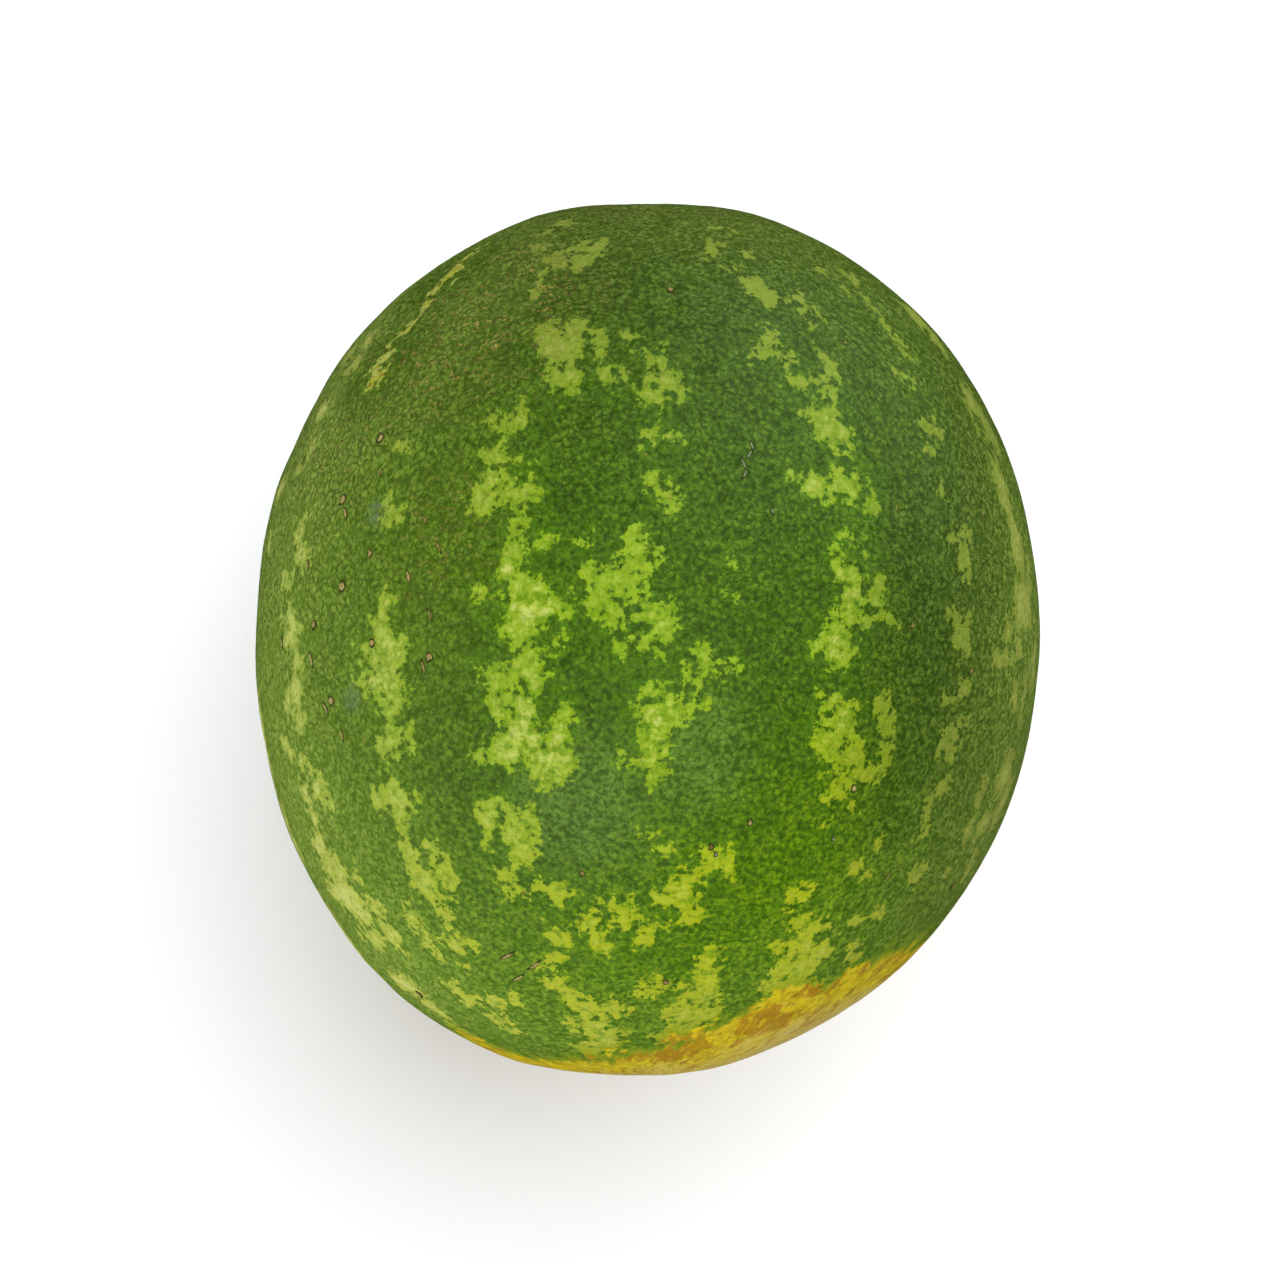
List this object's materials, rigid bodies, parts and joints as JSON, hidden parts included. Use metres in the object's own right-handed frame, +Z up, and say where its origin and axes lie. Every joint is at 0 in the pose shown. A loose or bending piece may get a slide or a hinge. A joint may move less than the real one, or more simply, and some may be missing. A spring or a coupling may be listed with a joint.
{
  "type": "watermelon",
  "caption": "Whole round-oval watermelon lying on its side, striped rind with a yellow ground spot, and a scar in a shallow dip at each end; rests on a small flat spot.",
  "frame": {"origin": "on the surface that the fruit rests on, under the middle of its bounding box", "axes": "+Y along the fruit's axis, from the stem end towards the blossom end, which is also its longest direction; +Z up; +X to the right of someone who looks down on it with the blossom end away from them"},
  "size_m": [0.2392, 0.263, 0.2348],
  "materials": {
    "rind": "satin, naturally waxy, mid green with a dark green net and broken yellow-green stripes from end to end, and a yellow ground spot low on one side"
  },
  "bodies": {
    "root": {"watermelon": "rind"}
  },
  "joints": []
}
